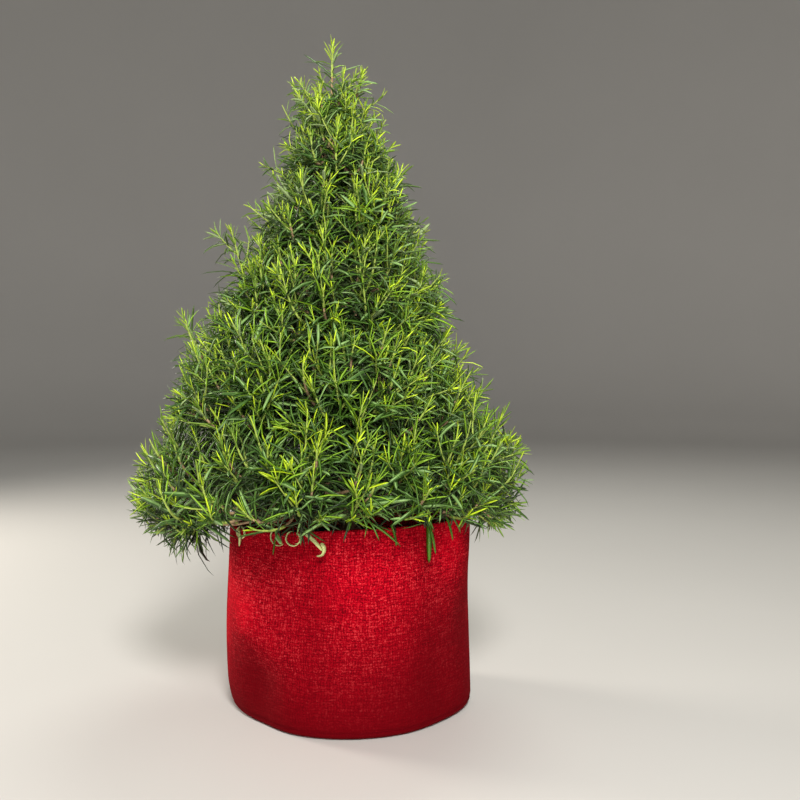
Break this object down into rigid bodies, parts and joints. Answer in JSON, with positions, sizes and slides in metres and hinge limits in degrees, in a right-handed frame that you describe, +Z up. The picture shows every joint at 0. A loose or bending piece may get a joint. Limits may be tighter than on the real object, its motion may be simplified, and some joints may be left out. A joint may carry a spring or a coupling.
{
  "type": "rosemary cone topiary in burlap pot",
  "caption": "Potted rosemary shrub clipped to a dense cone, standing in a round pot with a woven burlap cover.",
  "frame": {"origin": "centre of the pot's flat underside, on the surface it stands on", "axes": "+Z up along the pot's axis, -Y the front of the plant as pictured, +X to the right"},
  "size_m": [0.2816, 0.263, 0.4661],
  "materials": {
    "burlap": "matte woven jute, deep red",
    "potting mix": "rough, moist, dark brown",
    "bark": "rough, flaking, grey brown",
    "foliage": "satin needles, green above and paler below"
  },
  "bodies": {
    "root": {"burlap_pot": "burlap", "potting_mix": "potting mix", "trunk": "bark", "bough_skirt_1": "bark", "foliage_skirt_1": "foliage", "bough_skirt_2": "bark", "foliage_skirt_2": "foliage", "bough_skirt_3": "bark", "foliage_skirt_3": "foliage", "bough_skirt_4": "bark", "foliage_skirt_4": "foliage", "bough_skirt_5": "bark", "foliage_skirt_5": "foliage", "bough_skirt_6": "bark", "foliage_skirt_6": "foliage", "bough_lower_1": "bark", "foliage_lower_1": "foliage", "bough_lower_2": "bark", "foliage_lower_2": "foliage", "bough_lower_3": "bark", "foliage_lower_3": "foliage", "bough_lower_4": "bark", "foliage_lower_4": "foliage", "bough_lower_5": "bark", "foliage_lower_5": "foliage", "bough_lower_6": "bark", "foliage_lower_6": "foliage", "bough_middle_1": "bark", "foliage_middle_1": "foliage", "bough_middle_2": "bark", "foliage_middle_2": "foliage", "bough_middle_3": "bark", "foliage_middle_3": "foliage", "bough_middle_4": "bark", "foliage_middle_4": "foliage", "bough_upper_1": "bark", "foliage_upper_1": "foliage", "bough_upper_2": "bark", "foliage_upper_2": "foliage", "bough_upper_3": "bark", "foliage_upper_3": "foliage", "bough_upper_4": "bark", "foliage_upper_4": "foliage", "bough_crown_1": "bark", "foliage_crown_1": "foliage", "bough_crown_2": "bark", "foliage_crown_2": "foliage", "bough_crown_3": "bark", "foliage_crown_3": "foliage", "foliage_leader": "foliage"}
  },
  "joints": []
}
